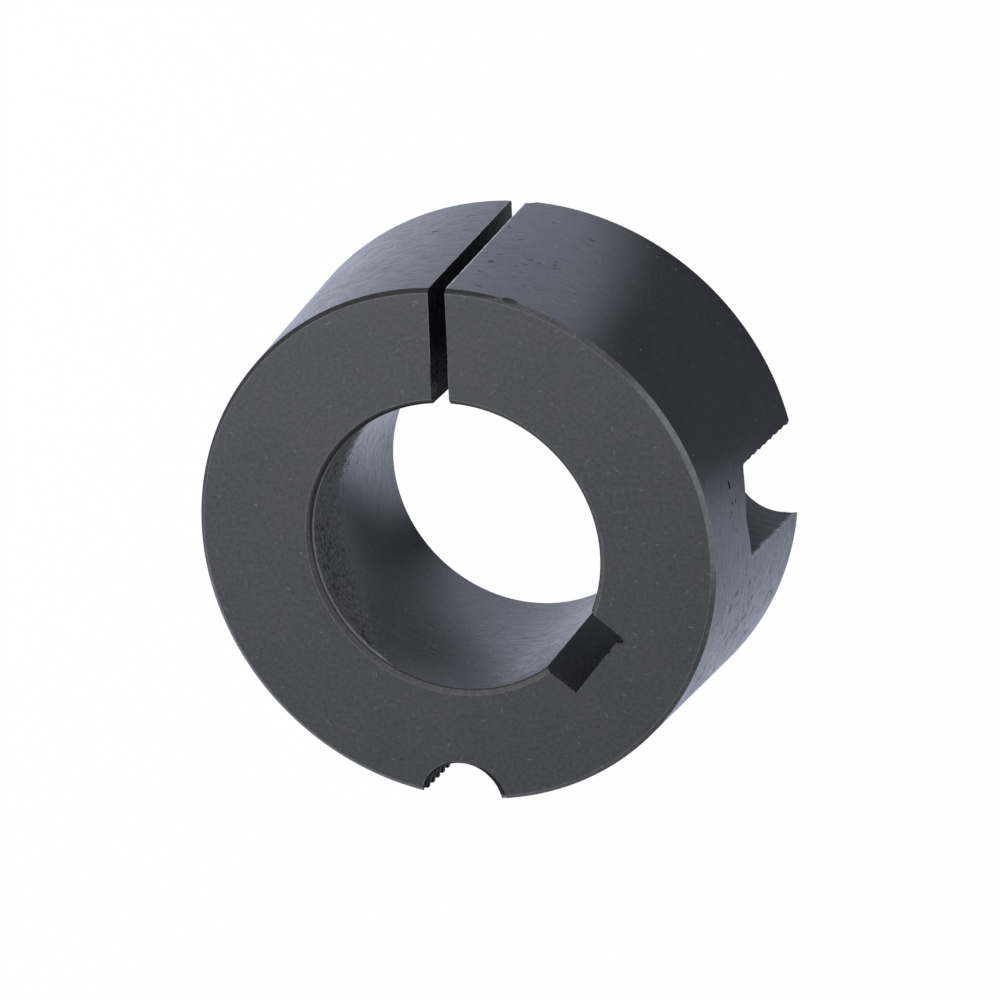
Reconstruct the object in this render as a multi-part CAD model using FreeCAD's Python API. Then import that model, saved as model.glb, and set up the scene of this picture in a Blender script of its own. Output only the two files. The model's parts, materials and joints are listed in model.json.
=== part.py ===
import FreeCAD, Part
import math
import os

# Taper bush, millimetres.
# A split ring of cast iron with a plain keyed bore and a tapered outside. It is pressed into the
# tapered hole of a pulley or sprocket by two screws, and grips the shaft as it closes.
# The bush is turned, drilled, tapped, broached and sawn from one casting, so it is one solid.
# It stands on its large end: +Z is the bore's axis and points to the small end, the origin is the
# middle of the large end, and the saw cut is on the +Y side.

# Tapered body
LARGE_END_DIAMETER = 57.15
LENGTH = 25.4
TAPER_HALF_ANGLE = 4.0
LARGE_RIM_CHAMFER = 0.3
SMALL_RIM_CHAMFER = 0.4

# Shaft bore and its keyway
BORE_DIAMETER = 30.0
BORE_CHAMFER = 0.5
KEYWAY_WIDTH = 8.0
KEYWAY_DEPTH = 3.3
KEYWAY_ANGLE = -37.0

# Saw cut through one side of the ring: its middle at the small end, and its lean off the axis
SLIT_WIDTH = 1.76
SLIT_OFFSET = -0.67
SLIT_LEAN = 0.9

# The half-holes all stand on one circle, this far inside the large end's rim
HOLE_SETBACK = 25.4 / 16

# Two plain half-holes for the fastening screws, drilled from the large end
SCREW_HOLE_DIAMETER = 10.0
SCREW_HOLE_DEPTH = 14.3
SCREW_HOLE_ANGLE = 4.0
SCREW_HOLE_COUNT = 2
DRILL_POINT_ANGLE = 140.0

# One threaded half-hole for the screw that pushes the bush out, right through
JACK_HOLE_ANGLE = -90.0
JACK_THREAD_DIAMETER = 9.525
JACK_THREAD_PITCH = 25.4 / 16
JACK_THREAD_DEPTH = 0.71
JACK_MOUTH_CHAMFER = 0.25
# The groove's middle is at this height where it faces straight away from the bore
JACK_THREAD_START = -0.36
THREAD_FLANK_ANGLE = 55.0
# The groove's bottom is cut off this share of the sharp thread's height from its point
THREAD_ROOT_SHARE = 1 / 6
# The groove's cutter starts this far inside the drilled wall, so that it opens into the hole
GROOVE_OVERLAP = 0.05
# The groove starts below and ends above the bush by this many turns
THREAD_RUN_OUT_TURNS = 2

# Every cutter runs this far past the face that it leaves by
CUTTER_OVERRUN = 2.0

Z_AXIS = FreeCAD.Vector(0, 0, 1)
ORIGIN = FreeCAD.Vector(0, 0, 0)

taper_slope = math.tan(math.radians(TAPER_HALF_ANGLE))
large_radius = LARGE_END_DIAMETER / 2
small_radius = large_radius - LENGTH * taper_slope
bore_radius = BORE_DIAMETER / 2
hole_circle_radius = large_radius - HOLE_SETBACK
thread_radius = JACK_THREAD_DIAMETER / 2
tap_drill_radius = thread_radius - JACK_THREAD_DEPTH
through_height = LENGTH + 2 * CUTTER_OVERRUN


def on_hole_circle(shape, angle):
    """Carry a cutter from the Z axis to its place on the hole circle."""
    shape.translate(FreeCAD.Vector(hole_circle_radius, 0, 0))
    shape.rotate(ORIGIN, Z_AXIS, angle)
    return shape


def revolve_profile(points):
    """Turn a closed outline of (radius, height) points once round the Z axis."""
    corners = [FreeCAD.Vector(radius, 0, height) for radius, height in points]
    outline = Part.makePolygon(corners + corners[:1])
    return Part.Face(outline).revolve(ORIGIN, Z_AXIS, 360)


def turned_ring():
    """The ring as it leaves the lathe: taper outside, bore inside, all four rims chamfered."""
    return revolve_profile([
        (bore_radius + BORE_CHAMFER, 0),
        (large_radius - LARGE_RIM_CHAMFER, 0),
        (large_radius - LARGE_RIM_CHAMFER * taper_slope, LARGE_RIM_CHAMFER),
        (small_radius + SMALL_RIM_CHAMFER * taper_slope, LENGTH - SMALL_RIM_CHAMFER),
        (small_radius - SMALL_RIM_CHAMFER, LENGTH),
        (bore_radius + BORE_CHAMFER, LENGTH),
        (bore_radius, LENGTH - BORE_CHAMFER),
        (bore_radius, BORE_CHAMFER),
    ])


def keyway_cutter():
    """A square broach from the bore's axis out to the keyway's floor, the whole length."""
    corner = FreeCAD.Vector(0, -KEYWAY_WIDTH / 2, -CUTTER_OVERRUN)
    broach = Part.makeBox(bore_radius + KEYWAY_DEPTH, KEYWAY_WIDTH, through_height, corner)
    broach.rotate(ORIGIN, Z_AXIS, KEYWAY_ANGLE)
    return broach


def slit_cutter():
    """The saw's path, from the bore out through the +Y side."""
    corner = FreeCAD.Vector(SLIT_OFFSET - SLIT_WIDTH / 2, 0, -CUTTER_OVERRUN)
    saw = Part.makeBox(SLIT_WIDTH, large_radius + CUTTER_OVERRUN, through_height, corner)
    saw.rotate(FreeCAD.Vector(SLIT_OFFSET, 0, LENGTH), FreeCAD.Vector(0, 1, 0), -SLIT_LEAN)
    return saw


def screw_hole_cutter(angle):
    """A twist drill's path from the large end, with the cone that its point leaves."""
    radius = SCREW_HOLE_DIAMETER / 2
    point_height = radius / math.tan(math.radians(DRILL_POINT_ANGLE / 2))
    drill = revolve_profile([
        (0, -CUTTER_OVERRUN),
        (radius, -CUTTER_OVERRUN),
        (radius, SCREW_HOLE_DEPTH),
        (0, SCREW_HOLE_DEPTH + point_height),
    ])
    return on_hole_circle(drill, angle)


def thread_groove():
    """The tap's groove round the Z axis, from below the large end to above the small end."""
    flank_slope = math.tan(math.radians(THREAD_FLANK_ANGLE / 2))
    sharp_height = JACK_THREAD_PITCH / (2 * flank_slope)
    point_radius = thread_radius + sharp_height * THREAD_ROOT_SHARE
    inner_radius = tap_drill_radius - GROOVE_OVERLAP
    root_half_width = (point_radius - thread_radius) * flank_slope
    inner_half_width = (point_radius - inner_radius) * flank_slope
    run_out = THREAD_RUN_OUT_TURNS * JACK_THREAD_PITCH
    bottom = JACK_THREAD_START - run_out
    corners = [
        FreeCAD.Vector(inner_radius, 0, bottom - inner_half_width),
        FreeCAD.Vector(thread_radius, 0, bottom - root_half_width),
        FreeCAD.Vector(thread_radius, 0, bottom + root_half_width),
        FreeCAD.Vector(inner_radius, 0, bottom + inner_half_width),
    ]
    outline = Part.makePolygon(corners + corners[:1])
    helix = Part.makeHelix(JACK_THREAD_PITCH, LENGTH + 2 * run_out, inner_radius)
    helix.translate(FreeCAD.Vector(0, 0, bottom))
    return Part.Wire(helix.Edges).makePipeShell([outline], True, True)


def jack_mouth(face_height, outwards):
    """The small countersink at one end of the threaded half-hole; outwards is 1 up or -1 down."""
    inner_height = face_height - outwards * JACK_MOUTH_CHAMFER
    outer_height = face_height + outwards * CUTTER_OVERRUN
    return revolve_profile([
        (0, inner_height),
        (tap_drill_radius, inner_height),
        (tap_drill_radius + JACK_MOUTH_CHAMFER + CUTTER_OVERRUN, outer_height),
        (0, outer_height),
    ])


def jack_hole_cutters():
    """Tap drill, thread and the two countersinks of the half-hole that pushes the bush out."""
    bottom = FreeCAD.Vector(0, 0, -CUTTER_OVERRUN)
    drill = Part.makeCylinder(tap_drill_radius, through_height, bottom)
    shapes = [drill, jack_mouth(0, -1), jack_mouth(LENGTH, 1), thread_groove()]
    return [on_hole_circle(shape, JACK_HOLE_ANGLE) for shape in shapes]


def taper_bush():
    """The finished bush."""
    bush = turned_ring()
    bush = bush.cut(keyway_cutter())
    bush = bush.cut(slit_cutter())
    for number in range(SCREW_HOLE_COUNT):
        bush = bush.cut(screw_hole_cutter(SCREW_HOLE_ANGLE + number * 360 / SCREW_HOLE_COUNT))
    for cutter in jack_hole_cutters():
        bush = bush.cut(cutter)
    return bush


os.makedirs("parts", exist_ok=True)
shape = taper_bush()
shape.exportStep("parts/taper_bush.step")
print("solids", len(shape.Solids), "valid", shape.isValid())
print("volume mm3 %.1f" % shape.Volume, "faces", len(shape.Faces))
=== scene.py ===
import json
from math import cos, degrees, pi, radians, sin, tan

import bpy
from mathutils import Matrix, Vector


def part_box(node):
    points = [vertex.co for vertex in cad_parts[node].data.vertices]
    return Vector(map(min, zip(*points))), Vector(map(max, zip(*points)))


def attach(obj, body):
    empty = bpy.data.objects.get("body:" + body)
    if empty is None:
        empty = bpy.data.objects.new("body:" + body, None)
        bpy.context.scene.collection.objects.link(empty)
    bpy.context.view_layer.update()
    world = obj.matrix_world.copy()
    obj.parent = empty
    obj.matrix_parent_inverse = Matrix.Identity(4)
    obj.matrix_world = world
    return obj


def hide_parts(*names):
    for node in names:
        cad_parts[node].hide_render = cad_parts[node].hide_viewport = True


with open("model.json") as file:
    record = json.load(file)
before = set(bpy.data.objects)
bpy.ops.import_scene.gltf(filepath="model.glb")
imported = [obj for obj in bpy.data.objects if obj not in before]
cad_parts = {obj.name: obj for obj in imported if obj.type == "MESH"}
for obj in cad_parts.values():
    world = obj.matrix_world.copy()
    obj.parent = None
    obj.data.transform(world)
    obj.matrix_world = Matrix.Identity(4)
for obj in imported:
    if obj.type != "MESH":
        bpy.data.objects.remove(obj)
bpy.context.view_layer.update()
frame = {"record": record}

# The turned blank
# A ring of grey cast iron, turned all over on a lathe: two flat ends, a tapered outside, a plain
# bore, and a small chamfer on each of the four rims. It stands on its large end, the bore upright.
MM = 0.001
TAPER_HALF_ANGLE = radians(4.0)
LARGE_RIM_CHAMFER = 0.3 * MM
SMALL_RIM_CHAMFER = 0.4 * MM
BORE_CHAMFER = 0.5 * MM
TURNED_UNDER_SIZE = 0.01 * MM
RIM_STEPS = 640
QUARTER_TURN = pi / 2
# A face that looks less up or down than the first is a wall, and more than the second an end
WALL_FACING, END_FACING = 0.3, 0.9

mounts = {mount["name"]: mount for mount in frame["record"]["mounts"]}
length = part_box("taper_bush")[1].z
bore_radius = mounts["bore"]["dims"]["r_mm"] * MM
large_radius = mounts["taper_seat"]["dims"]["r_mm"] * MM - TURNED_UNDER_SIZE
small_radius = large_radius - length * tan(TAPER_HALF_ANGLE)

SOCKET_KINDS = {
    float: "NodeSocketFloat",
    int: "NodeSocketInt",
    bpy.types.Material: "NodeSocketMaterial",
}


def connect(tree, socket, value):
    """Fill a socket: link it to what the tree works out, or give it a plain value."""
    if isinstance(value, Measure):
        value = value.socket
    if isinstance(value, bpy.types.NodeSocket):
        tree.links.new(value, socket)
    else:
        socket.default_value = value


def place(tree, kind, values=(), **settings):
    """Add a node to a tree, with its settings and its inputs, by name or in their order."""
    node = tree.nodes.new(kind)
    for setting, choice in settings.items():
        setattr(node, setting, choice)
    for socket, value in values.items() if isinstance(values, dict) else enumerate(values):
        connect(tree, node.inputs[socket], value)
    return node


class Measure:
    """A number that a node tree works out, written in formulas like a plain number."""

    def __init__(self, tree, socket):
        self.tree = tree
        self.socket = socket

    def work(self, operation, *others):
        """One Math node on this number and the others."""
        node = place(self.tree, "ShaderNodeMath", (self, *others), operation=operation)
        return Measure(self.tree, node.outputs[0])

    def __add__(self, other):
        return self.work("ADD", other)

    def __sub__(self, other):
        return self.work("SUBTRACT", other)

    def __rsub__(self, other):
        return self.work("MULTIPLY", -1.0).work("ADD", other)

    def __mul__(self, other):
        return self.work("MULTIPLY", other)

    def __truediv__(self, other):
        return self.work("DIVIDE", other)

    def __abs__(self):
        return self.work("ABSOLUTE")

    def within(self, low, high):
        """The number, held between two limits."""
        return self.work("MAXIMUM", low).work("MINIMUM", high)

    def ramp(self, start, end, low=0.0, high=1.0):
        """Runs from low to high, smoothly, while the number runs from start to end."""
        values = (self, start, end, low, high)
        node = place(self.tree, "ShaderNodeMapRange", values, interpolation_type="SMOOTHSTEP")
        return Measure(self.tree, node.outputs[0])


def axes(tree, vector):
    """The three coordinates of a vector."""
    node = place(tree, "ShaderNodeSeparateXYZ", [vector])
    return [Measure(tree, output) for output in node.outputs]


def point(tree, *coordinates):
    """A vector of three coordinates."""
    return place(tree, "ShaderNodeCombineXYZ", coordinates).outputs[0]


def here(tree):
    """The three coordinates of each spot of the mesh."""
    return axes(tree, place(tree, "GeometryNodeInputPosition").outputs[0])


def facing(tree):
    """The way that each spot of the mesh faces, as three coordinates."""
    return axes(tree, place(tree, "GeometryNodeInputNormal").outputs[0])


def distance_out(x, y):
    """How far a spot is from the upright axis that x and y are measured from."""
    return (x * x + y * y).work("SQRT")


def machine(piece, name, sizes, steps):
    """Work on a piece in a Geometry Nodes tree, which has one named input for each size."""
    tree = bpy.data.node_groups.new(name, "GeometryNodeTree")
    tree.interface.new_socket("Mesh", in_out="INPUT", socket_type="NodeSocketGeometry")
    tree.interface.new_socket("Mesh", in_out="OUTPUT", socket_type="NodeSocketGeometry")
    modifier = piece.modifiers.new(name, "NODES")
    identifiers = {}
    for label, value in sizes.items():
        kind = SOCKET_KINDS[type(value)]
        socket = tree.interface.new_socket(label, in_out="INPUT", socket_type=kind)
        identifiers[label] = socket.identifier
    modifier.node_group = tree
    for label, value in sizes.items():
        modifier[identifiers[label]] = value
    entry = tree.nodes.new("NodeGroupInput").outputs
    given = {label: Measure(tree, entry[label]) for label in sizes}
    made = steps(tree, entry["Mesh"], given)
    tree.links.new(made, tree.nodes.new("NodeGroupOutput").inputs["Mesh"])


def turned_blank(tree, mesh, given):
    """A wall section with its corners cut off, carried round the bore, its faces turned outwards.

    It is made from nothing, so the mesh that comes in isn't used.
    """
    bore, large, small = (given[end] for end in ("Bore Radius", "Large Radius", "Small Radius"))
    height = given["Length"]
    corners = {
        "Point 1": point(tree, 0.0, 0.0, 0.0),
        "Point 2": point(tree, large - bore, 0.0, 0.0),
        "Point 3": point(tree, small - bore, height * -1.0, 0.0),
        "Point 4": point(tree, 0.0, height * -1.0, 0.0),
    }
    wall = place(tree, "GeometryNodeCurvePrimitiveQuadrilateral", corners, mode="POINTS")
    corner = place(tree, "GeometryNodeInputIndex").outputs[0]
    picked = place(tree, "GeometryNodeIndexSwitch", data_type="FLOAT")
    picked.index_switch_items.new()
    picked.index_switch_items.new()
    rims = ("Bore Chamfer", "Large Chamfer", "Small Chamfer", "Bore Chamfer")
    for socket, value in zip(picked.inputs, [corner] + [given[rim] for rim in rims]):
        connect(tree, socket, value)
    values = {"Curve": wall.outputs[0], "Radius": picked.outputs[0], "Count": 1}
    wall = place(tree, "GeometryNodeFilletCurve", values, mode="POLY").outputs[0]
    values = {"Radius": bore, "Resolution": given["Rim Steps"]}
    rail = place(tree, "GeometryNodeCurvePrimitiveCircle", values).outputs[0]
    values = {"Curve": rail, "Profile Curve": wall}
    ring = place(tree, "GeometryNodeCurveToMesh", values).outputs[0]
    ring = place(tree, "GeometryNodeRealizeInstances", [ring]).outputs[0]
    ring = place(tree, "GeometryNodeFlipFaces", [ring]).outputs[0]
    x, y = here(tree)[:2]
    outside = distance_out(x, y).work("GREATER_THAN", (bore + small) / 2.0)
    tilt = abs(facing(tree)[2])
    upright = tilt.work("LESS_THAN", WALL_FACING)
    sloping = tilt.work("LESS_THAN", END_FACING) - upright
    parts = {
        "Face Finish": True,
        "Chamfer Finish": sloping,
        "Taper Finish": upright * outside,
        "Bore Finish": upright * (outside * -1.0 + 1.0),
    }
    for finish, part in parts.items():
        values = {"Geometry": ring, "Selection": part, "Material": given[finish]}
        ring = place(tree, "GeometryNodeSetMaterial", values).outputs[0]
    return ring


# A corner is rounded in one step, so its radius follows from the chamfer and the corner's angle
bush = bpy.data.objects.new("machined_taper_bush", bpy.data.meshes.new("machined_taper_bush"))
bpy.context.scene.collection.objects.link(bush)
machine(bush, "turned_blank", {
    "Bore Radius": bore_radius,
    "Large Radius": large_radius,
    "Small Radius": small_radius,
    "Length": length,
    "Bore Chamfer": BORE_CHAMFER,
    "Large Chamfer": LARGE_RIM_CHAMFER / tan((QUARTER_TURN + TAPER_HALF_ANGLE) / 2),
    "Small Chamfer": SMALL_RIM_CHAMFER / tan((QUARTER_TURN - TAPER_HALF_ANGLE) / 2),
    "Rim Steps": RIM_STEPS,
    "Face Finish": bpy.data.materials.new("turned_end_faces"),
    "Chamfer Finish": bpy.data.materials.new("turned_chamfers"),
    "Taper Finish": bpy.data.materials.new("turned_taper"),
    "Bore Finish": bpy.data.materials.new("turned_bore"),
}, turned_blank)

# The key slot
# A plain rectangular slot, broached along the whole bore for the shaft's key. Its floor and sides
# are smooth, with the broach's fine lines along them.
KEY_SLOT_WIDTH = 8.0 * MM
KEY_SLOT_DEPTH = 3.3 * MM
KEY_SLOT_ANGLE = radians(-37.0)
OVERRUN = 2.0 * MM


def cut_away(tree, mesh, cutter, finish):
    """The mesh without what the cutter covers; the cut faces take the cutter's finish.

    The mesh lists that finish first, on none of its faces, because the cut keeps no other.
    """
    cutter = place(tree, "GeometryNodeRealizeInstances", [cutter]).outputs[0]
    values = {"Geometry": cutter, "Material": finish}
    cutter = place(tree, "GeometryNodeSetMaterial", values).outputs[0]
    values = {"Geometry": mesh, "Selection": False, "Material": finish}
    mesh = place(tree, "GeometryNodeSetMaterial", values).outputs[0]
    cut = place(tree, "GeometryNodeMeshBoolean", [mesh, cutter], solver="MANIFOLD")
    return cut.outputs["Mesh"]


def spin_by(tree, turn):
    """A turn about an upright axis."""
    return place(tree, "FunctionNodeEulerToRotation", [point(tree, 0.0, 0.0, turn)]).outputs[0]


def stand_at(tree, mesh, turn, **place_at):
    """Move a cutter to its place, then turn it about the bore's axis."""
    offset = point(tree, *(place_at.get(axis, 0.0) for axis in "xyz"))
    moved = place(tree, "GeometryNodeTransform", {"Geometry": mesh, "Translation": offset})
    values = {"Geometry": moved.outputs[0], "Rotation": spin_by(tree, turn)}
    return place(tree, "GeometryNodeTransform", values).outputs[0]


def key_slot(tree, mesh, given):
    """A broach from the bore's axis out to the slot's floor."""
    reach = given["Bore Radius"] + given["Depth"]
    size = point(tree, reach, given["Width"], given["Length"] + given["Overrun"] * 2.0)
    broach = place(tree, "GeometryNodeMeshCube", [size]).outputs["Mesh"]
    broach = stand_at(tree, broach, given["Angle"], x=reach / 2.0, z=given["Length"] / 2.0)
    return cut_away(tree, mesh, broach, given["Finish"])


machine(bush, "key_slot", {
    "Bore Radius": bore_radius,
    "Width": KEY_SLOT_WIDTH,
    "Depth": KEY_SLOT_DEPTH,
    "Angle": KEY_SLOT_ANGLE,
    "Length": length,
    "Overrun": OVERRUN,
    "Finish": bpy.data.materials.new("broached_key_slot"),
}, key_slot)

# The saw cut
# One cut right through the wall lets the bush close on the shaft. The saw went a little out of
# square, left the cut wider at the bore than at the rim, and left a small step in its sides.
SAW_CUT_WIDTH_AT_RIM = 1.73 * MM
SAW_CUT_WIDTH_AT_BORE = 1.83 * MM
SAW_CUT_OFFSET = -0.67 * MM
SAW_CUT_LEAN = radians(0.9)
SAW_CUT_STEP = 0.06 * MM
SAW_CUT_STEP_PLACE = 19.0 * MM
SAW_CUT_ROUGHNESS = 0.07 * MM
SAW_TOOTH_SPACING = 0.55 * MM
SAW_CUT_ROWS_OUT, SAW_CUT_ROWS_UP = 90, 100
# The two sides of the cut lie this far from the middle of the pattern that roughens them
SIDES_APART = 3.0


def noise(tree, vector, scale=1.0, detail=3.0, roughness=0.6):
    """A smooth pattern that runs from 0 to 1 and is about 0.5 on average."""
    values = {"Vector": vector, "Scale": scale, "Detail": detail, "Roughness": roughness}
    return Measure(tree, place(tree, "ShaderNodeTexNoise", values).outputs["Fac"])


def reshape(tree, mesh, *coordinates):
    """Move each spot of a mesh to new coordinates."""
    values = {"Geometry": mesh, "Position": point(tree, *coordinates)}
    return place(tree, "GeometryNodeSetPosition", values).outputs[0]


def saw_cut(tree, mesh, given):
    """The saw's path from the bore's axis out through the rim, its sides a little uneven."""
    reach = given["Rim Radius"] + given["Overrun"]
    size = point(tree, given["Width"], reach, given["Length"] + given["Overrun"] * 2.0)
    values = {"Size": size, "Vertices Y": SAW_CUT_ROWS_OUT, "Vertices Z": SAW_CUT_ROWS_UP}
    blade = place(tree, "GeometryNodeMeshCube", values).outputs["Mesh"]
    blade = stand_at(tree, blade, 0.0, y=reach / 2.0, z=given["Length"] / 2.0)
    x, y, z = here(tree)
    side = x.work("SIGN")
    flare = (given["Rim Radius"] - y) * given["Flare"]
    teeth = given["Tooth Spacing"]
    uneven = noise(tree, point(tree, side * SIDES_APART, y / teeth, z / teeth)) - 0.5
    uneven = uneven * given["Roughness"] * 2.0
    step = y.ramp(given["Step Place"] - MM, given["Step Place"] + MM) - 0.5
    lean = (given["Length"] - z) * given["Lean"]
    shift = given["Offset"] + lean + side * flare + uneven + step * given["Step"]
    return cut_away(tree, mesh, reshape(tree, blade, x + shift, y, z), given["Finish"])


saw_cut_flare = (SAW_CUT_WIDTH_AT_BORE - SAW_CUT_WIDTH_AT_RIM) / (small_radius - bore_radius) / 2
machine(bush, "saw_cut", {
    "Width": SAW_CUT_WIDTH_AT_RIM,
    "Flare": saw_cut_flare,
    "Offset": SAW_CUT_OFFSET,
    "Lean": tan(SAW_CUT_LEAN),
    "Roughness": SAW_CUT_ROUGHNESS,
    "Tooth Spacing": SAW_TOOTH_SPACING,
    "Step": SAW_CUT_STEP,
    "Step Place": SAW_CUT_STEP_PLACE,
    "Rim Radius": small_radius,
    "Length": length,
    "Overrun": OVERRUN,
    "Finish": bpy.data.materials.new("sawn_walls"),
}, saw_cut)

# The screw half-holes
# Two blind half-holes, drilled from the large end on the line where hub and bush meet. The hub has
# the other halves, threaded, and the screws have pressed faint thread marks into these plain ones.
SCREW_HOLE_ANGLE = radians(4.2)
SCREW_HOLE_FARTHER_IN = 0.18 * MM
SCREW_HOLE_COUNT = 2
DRILL_POINT_ANGLE = radians(140.0)
CHISEL_EDGE_SHARE = 0.08
DRILL_CORNER_ROUNDING = 0.3
SCREW_MARK_DEPTH = 0.2 * MM
SCREW_MARK_PITCH = 25.4 / 16 * MM
TORN_LIP = 0.2 * MM
# On a drill of radius one: how far to the side the marks lie, and how far out the torn lip
MARKED_SIDE, LIP_PLACE = (0.7, 0.97), (-0.02, 0.16)
MARKS_FADE_FROM = 0.8
DRILL_STEPS_ROUND = 96
DRILL_STEP_HEIGHT = 0.1 * MM

screw_seat = mounts["screw_seat_right"]
screw_hole_radius = screw_seat["dims"]["r_mm"] * MM
screw_hole_depth = screw_seat["dims"]["length_mm"] * MM
hole_circle_radius = Vector(screw_seat["pos_m"]).length


def bearing_of(x, y):
    """The bearing of a spot round the axis that x and y are measured from, in radians."""
    return y.work("ARCTAN2", x)


def drill_blank(tree, height, steps_round, step_height):
    """A closed rod of radius one, standing on zero, and where each spot of it is."""
    rows = (height / step_height).work("ROUND")
    values = {"Vertices": steps_round, "Side Segments": rows, "Radius": 1.0, "Depth": height}
    rod = place(tree, "GeometryNodeMeshCylinder", values, fill_type="TRIANGLE_FAN")
    x, y, z = here(tree)
    return rod.outputs["Mesh"], x, y, z + height / 2.0, bearing_of(x, y)


def screw_half_holes(tree, mesh, given):
    """A twist drill with its point, shaped by radius against height, standing at each hole."""
    radius, depth = given["Radius"], given["Depth"]
    point_height = radius / given["Point Slope"]
    height = depth + point_height + given["Overrun"]
    rod, x, y, z, bearing = drill_blank(tree, height, DRILL_STEPS_ROUND, given["Step Height"])
    z = z - given["Overrun"]
    narrowing = (point_height + depth - z) / point_height
    narrowing = narrowing.work("SMOOTH_MIN", 1.0, given["Corner Rounding"])
    narrowing = narrowing.work("MAXIMUM", CHISEL_EDGE_SHARE)
    turns = z / given["Mark Pitch"] - bearing / (2 * pi)
    mark = abs(turns.work("FRACT") - 0.5) * 2.0 - 0.5
    along = point(tree, z / given["Mark Pitch"] * 0.9, y, x)
    uneven = noise(tree, along, roughness=0.7).ramp(0.3, 0.7, 0.2, 1.1)
    strength = y.ramp(*MARKED_SIDE, 0.1, 1.0) * uneven * z.ramp(depth, depth * MARKS_FADE_FROM)
    torn = noise(tree, point(tree, z / given["Mark Pitch"] * 2.0, y, 4.0), roughness=0.7)
    lip = x.ramp(*LIP_PLACE) * y.work("LESS_THAN", 0.0) * torn.ramp(0.3, 0.7, 0.2, 1.0)
    radius = radius + mark * strength * given["Mark Depth"] + lip * given["Torn Lip"]
    radius = radius * narrowing
    drill = reshape(tree, rod, x * radius, y * radius, z)
    line = place(tree, "GeometryNodeMeshLine", {"Count": given["Count"], "Offset": (0, 0, 0)})
    number = Measure(tree, place(tree, "GeometryNodeInputIndex").outputs[0])
    turn = given["Angle"] + number * 2 * pi / given["Count"]
    out = given["Circle Radius"]
    spots = reshape(tree, line.outputs[0], turn.work("COSINE") * out, turn.work("SINE") * out, 0.0)
    values = {"Points": spots, "Instance": drill, "Rotation": spin_by(tree, turn)}
    drills = place(tree, "GeometryNodeInstanceOnPoints", values).outputs[0]
    return cut_away(tree, mesh, drills, given["Finish"])


machine(bush, "screw_half_holes", {
    "Radius": screw_hole_radius,
    "Depth": screw_hole_depth,
    "Point Slope": tan(DRILL_POINT_ANGLE / 2),
    "Circle Radius": hole_circle_radius - SCREW_HOLE_FARTHER_IN,
    "Angle": SCREW_HOLE_ANGLE,
    "Count": SCREW_HOLE_COUNT,
    "Mark Depth": SCREW_MARK_DEPTH,
    "Mark Pitch": SCREW_MARK_PITCH,
    "Corner Rounding": DRILL_CORNER_ROUNDING,
    "Torn Lip": TORN_LIP,
    "Step Height": DRILL_STEP_HEIGHT,
    "Overrun": OVERRUN,
    "Finish": bpy.data.materials.new("drilled_half_holes"),
}, screw_half_holes)

# The threaded half-hole
# The third half-hole goes right through and is tapped: the screw that pushes the bush out of the
# hub turns in it. It is countersunk a little at both ends.
THREAD_PITCH = 25.4 / 16 * MM
THREAD_DEPTH = 0.68 * MM
THREAD_ROOT_SHARE = 1 / 6
THREAD_FLANK_SLOPE = tan(radians(55.0) / 2)
THREAD_START = -0.36 * MM
THREAD_MOUTH_CHAMFER = 0.26 * MM
THREAD_HOLE_ANGLE = radians(-90.4)
THREAD_HOLE_FARTHER_OUT = 0.13 * MM
THREAD_RUN_OUT_TURNS = 2.0
# The groove climbs up to this share of a turn on either side, and then falls back
TURN_BACK = 0.36
TAP_STEPS_ROUND = 96
TAP_STEPS_PER_TURN = 24

thread_radius = mounts["jack_thread"]["dims"]["r_mm"] * MM


def threaded_half_hole(tree, mesh, given):
    """A tap, whose radius follows the groove; outside the bush it turns back to close the turn."""
    radius, pitch, height = given["Thread Radius"], given["Pitch"], given["Length"]
    run_out = pitch * THREAD_RUN_OUT_TURNS
    tall = height + run_out * 2.0
    rod, x, y, z, bearing = drill_blank(tree, tall, TAP_STEPS_ROUND, given["Step Height"])
    z = z - run_out
    turn = bearing / (2 * pi)
    back = (0.5 - abs(turn)) * TURN_BACK / (0.5 - TURN_BACK)
    lift = abs(turn).work("MINIMUM", back) * turn.work("SIGN") * pitch
    z = z + lift
    from_groove = ((z - given["Start"] - lift) / pitch).work("FRACT")
    from_groove = abs(from_groove - 0.5) * -1.0 + 0.5
    from_groove = from_groove * pitch - given["Root Half Width"]
    crest = radius - given["Thread Depth"]
    flank = radius - (from_groove / given["Flank Slope"]).work("MAXIMUM", 0.0)
    below_face = z.work("MINIMUM", height - z)
    mouth = crest + given["Mouth Chamfer"] - below_face
    shaped = flank.work("MAXIMUM", crest).work("MAXIMUM", mouth)
    tap = reshape(tree, rod, x * shaped, y * shaped, z)
    turned = stand_at(tree, tap, pi)
    tap = stand_at(tree, turned, given["Angle"], x=given["Circle Radius"])
    return cut_away(tree, mesh, tap, given["Finish"])


# The tap stands turned half round, so its groove is cut half a pitch higher
machine(bush, "threaded_half_hole", {
    "Thread Radius": thread_radius,
    "Thread Depth": THREAD_DEPTH,
    "Pitch": THREAD_PITCH,
    "Root Half Width": THREAD_PITCH / 2 * THREAD_ROOT_SHARE,
    "Flank Slope": THREAD_FLANK_SLOPE,
    "Start": THREAD_START + THREAD_PITCH / 2,
    "Mouth Chamfer": THREAD_MOUTH_CHAMFER,
    "Circle Radius": hole_circle_radius + THREAD_HOLE_FARTHER_OUT,
    "Angle": THREAD_HOLE_ANGLE,
    "Step Height": THREAD_PITCH / TAP_STEPS_PER_TURN,
    "Length": length,
    "Finish": bpy.data.materials.new("threaded_half_hole"),
}, threaded_half_hole)

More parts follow.
